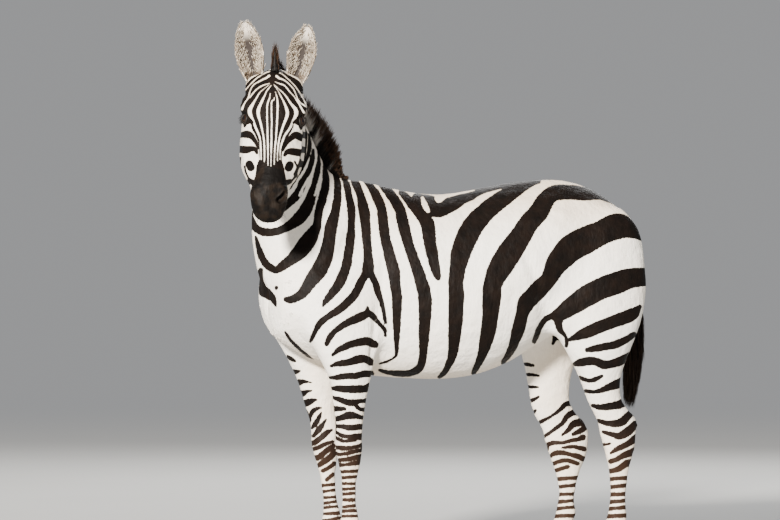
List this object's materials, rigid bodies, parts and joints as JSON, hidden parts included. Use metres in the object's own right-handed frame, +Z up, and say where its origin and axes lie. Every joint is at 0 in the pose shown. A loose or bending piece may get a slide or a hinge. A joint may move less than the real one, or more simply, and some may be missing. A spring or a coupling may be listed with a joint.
{
  "type": "plains zebra, standing",
  "caption": "Life-size standing plains zebra, still, with striped coat, upright mane, cupped ears and tufted tail; its head is turned to its left.",
  "frame": {"origin": "on the floor, under the middle of the animal's box", "axes": "+Z up; the animal faces -X, so its left flank is towards -Y, and its head is turned towards -Y"},
  "size_m": [1.582, 0.703, 1.827],
  "materials": {
    "coat": "short flat hair, striped in warm white and brown-black",
    "hair": "coarse upright hair, dark with white bands",
    "eye": "wet and glossy, dark brown",
    "hoof": "dark ringed horn"
  },
  "bodies": {
    "root": {"trunk": "coat", "neck": "coat", "head": "coat", "ear_left": "coat", "ear_right": "coat", "foreleg_left": "coat", "foreleg_right": "coat", "hindleg_left": "coat", "hindleg_right": "coat", "tail": "coat", "mane": "hair", "tail_tuft": "hair", "eye_left": "eye", "eye_right": "eye", "hoof_fore_left": "hoof", "hoof_fore_right": "hoof", "hoof_hind_left": "hoof", "hoof_hind_right": "hoof"}
  },
  "joints": []
}
